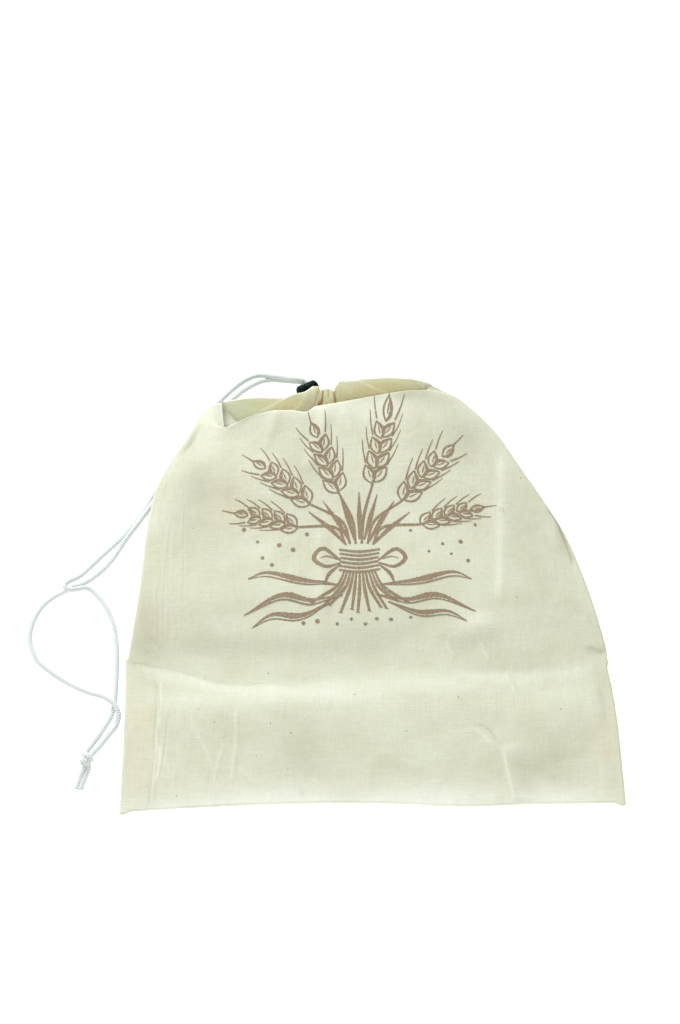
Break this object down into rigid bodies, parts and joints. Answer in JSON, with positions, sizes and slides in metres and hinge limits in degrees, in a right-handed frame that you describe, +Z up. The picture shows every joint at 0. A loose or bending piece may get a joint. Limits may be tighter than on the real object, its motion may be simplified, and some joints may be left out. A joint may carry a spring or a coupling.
{
  "type": "bread bag",
  "caption": "Flat cotton drawstring bag for bread, lying on its back, its mouth drawn in by a white cord held in a black push-button cord lock.",
  "frame": {"origin": "under the middle of the cloth, on the surface that the bag lies on", "axes": "+Z up out of the printed face, +Y from the bottom seam towards the mouth, +X to the right seen from above with the mouth at the top"},
  "size_m": [0.4125, 0.3531, 0.0262],
  "materials": {
    "cotton_front": "unbleached plain weave cotton, matte, pressed",
    "cotton_back": "unbleached plain weave cotton, matte, warm inner side",
    "print_ink": "taupe water-based ink printed on the cloth, matte, slightly worn",
    "sewing_thread": "cotton sewing thread",
    "braided_cord": "white braided polyester cord, soft sheen",
    "lock_plastic": "black moulded plastic, satin gloss",
    "lock_button_plastic": "black moulded plastic, satin gloss"
  },
  "bodies": {
    "bag": {"front_panel": "cotton_front", "back_panel": "cotton_back", "cord_strand_a": "braided_cord", "cord_strand_b": "braided_cord", "lock_body": "lock_plastic", "cord_knot": "braided_cord", "cord_tail_a": "braided_cord", "cord_tail_b": "braided_cord"},
    "button": {"lock_button": "lock_button_plastic"}
  },
  "joints": [
    {"name": "button_press", "type": "slide", "parent": "bag", "child": "button", "axis": [0.8638, 0.5039, 0], "range_m": [0, 0.0024], "stiffness_N_per_m": 200}
  ]
}
